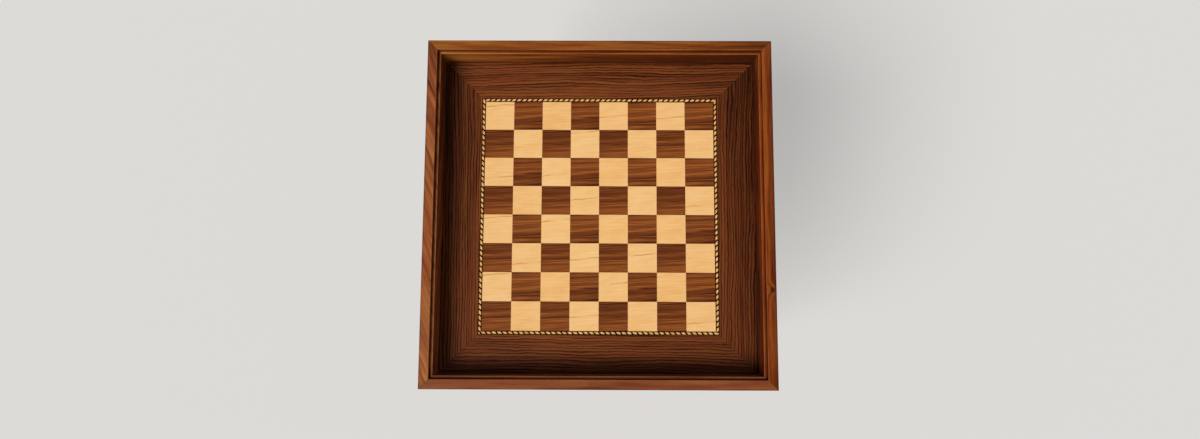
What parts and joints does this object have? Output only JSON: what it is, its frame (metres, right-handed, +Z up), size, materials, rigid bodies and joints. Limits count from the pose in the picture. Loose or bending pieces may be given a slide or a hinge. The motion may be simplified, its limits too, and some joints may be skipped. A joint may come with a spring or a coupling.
{
  "type": "chess table",
  "caption": "Square chess table with a deep mitred box on tapered legs; the floor of the box is an inlaid chessboard with rope banding, and the feet screw out to level it.",
  "frame": {"origin": "on the floor, under the middle of the table", "axes": "+Z up, +X to the right of the player at the front, +Y away from that player"},
  "size_m": [0.595, 0.595, 0.74],
  "materials": {
    "walnut_lacquered": "satin lacquer on solid walnut",
    "walnut_border_veneer": "satin lacquer on straight-grained walnut veneer",
    "walnut_square_veneer": "satin lacquer on striped walnut veneer",
    "walnut_backing_veneer": "sealed walnut veneer",
    "maple_veneer": "satin lacquer on maple veneer, ambered",
    "boxwood": "satin lacquer on boxwood",
    "black_veneer": "satin lacquer on dyed veneer",
    "beech": "planed, unfinished",
    "birch_plywood": "sanded, unfinished",
    "zinc_plated_steel": "bright zinc plate",
    "brass": "turned",
    "black_nylon": "moulded"
  },
  "bodies": {
    "table": {"rail_front": "walnut_lacquered", "border_front": "walnut_border_veneer", "cleat_front": "beech", "rail_right": "walnut_lacquered", "border_right": "walnut_border_veneer", "cleat_right": "beech", "rail_back": "walnut_lacquered", "border_back": "walnut_border_veneer", "cleat_back": "beech", "rail_left": "walnut_lacquered", "border_left": "walnut_border_veneer", "cleat_left": "beech", "leg_front_left": "walnut_lacquered", "corner_block_front_left": "beech", "leg_front_right": "walnut_lacquered", "corner_block_front_right": "beech", "leg_back_right": "walnut_lacquered", "corner_block_back_right": "beech", "leg_back_left": "walnut_lacquered", "corner_block_back_left": "beech", "mitre_tongues": "birch_plywood", "hanger_bolts": "zinc_plated_steel", "bolt_washers": "zinc_plated_steel", "bolt_nuts": "zinc_plated_steel", "board_core": "birch_plywood", "board_backing": "walnut_backing_veneer", "squares_dark": "walnut_square_veneer", "squares_light": "maple_veneer", "line_inner": "black_veneer", "line_outer": "black_veneer", "rope_light": "boxwood", "rope_black": "black_veneer", "cleat_screws": "zinc_plated_steel", "block_screws": "zinc_plated_steel", "board_screws": "zinc_plated_steel", "foot_inserts": "brass"},
    "foot_front_left": {"foot_stem_front_left": "zinc_plated_steel", "foot_pad_front_left": "black_nylon"},
    "foot_front_right": {"foot_stem_front_right": "zinc_plated_steel", "foot_pad_front_right": "black_nylon"},
    "foot_back_right": {"foot_stem_back_right": "zinc_plated_steel", "foot_pad_back_right": "black_nylon"},
    "foot_back_left": {"foot_stem_back_left": "zinc_plated_steel", "foot_pad_back_left": "black_nylon"}
  },
  "joints": [
    {"name": "screw_foot_front_left", "type": "slide", "parent": "table", "child": "foot_front_left", "axis": [0, 0, -1], "range_m": [0, 0.012]},
    {"name": "screw_foot_front_right", "type": "slide", "parent": "table", "child": "foot_front_right", "axis": [0, 0, -1], "range_m": [0, 0.012]},
    {"name": "screw_foot_back_right", "type": "slide", "parent": "table", "child": "foot_back_right", "axis": [0, 0, -1], "range_m": [0, 0.012]},
    {"name": "screw_foot_back_left", "type": "slide", "parent": "table", "child": "foot_back_left", "axis": [0, 0, -1], "range_m": [0, 0.012]}
  ]
}
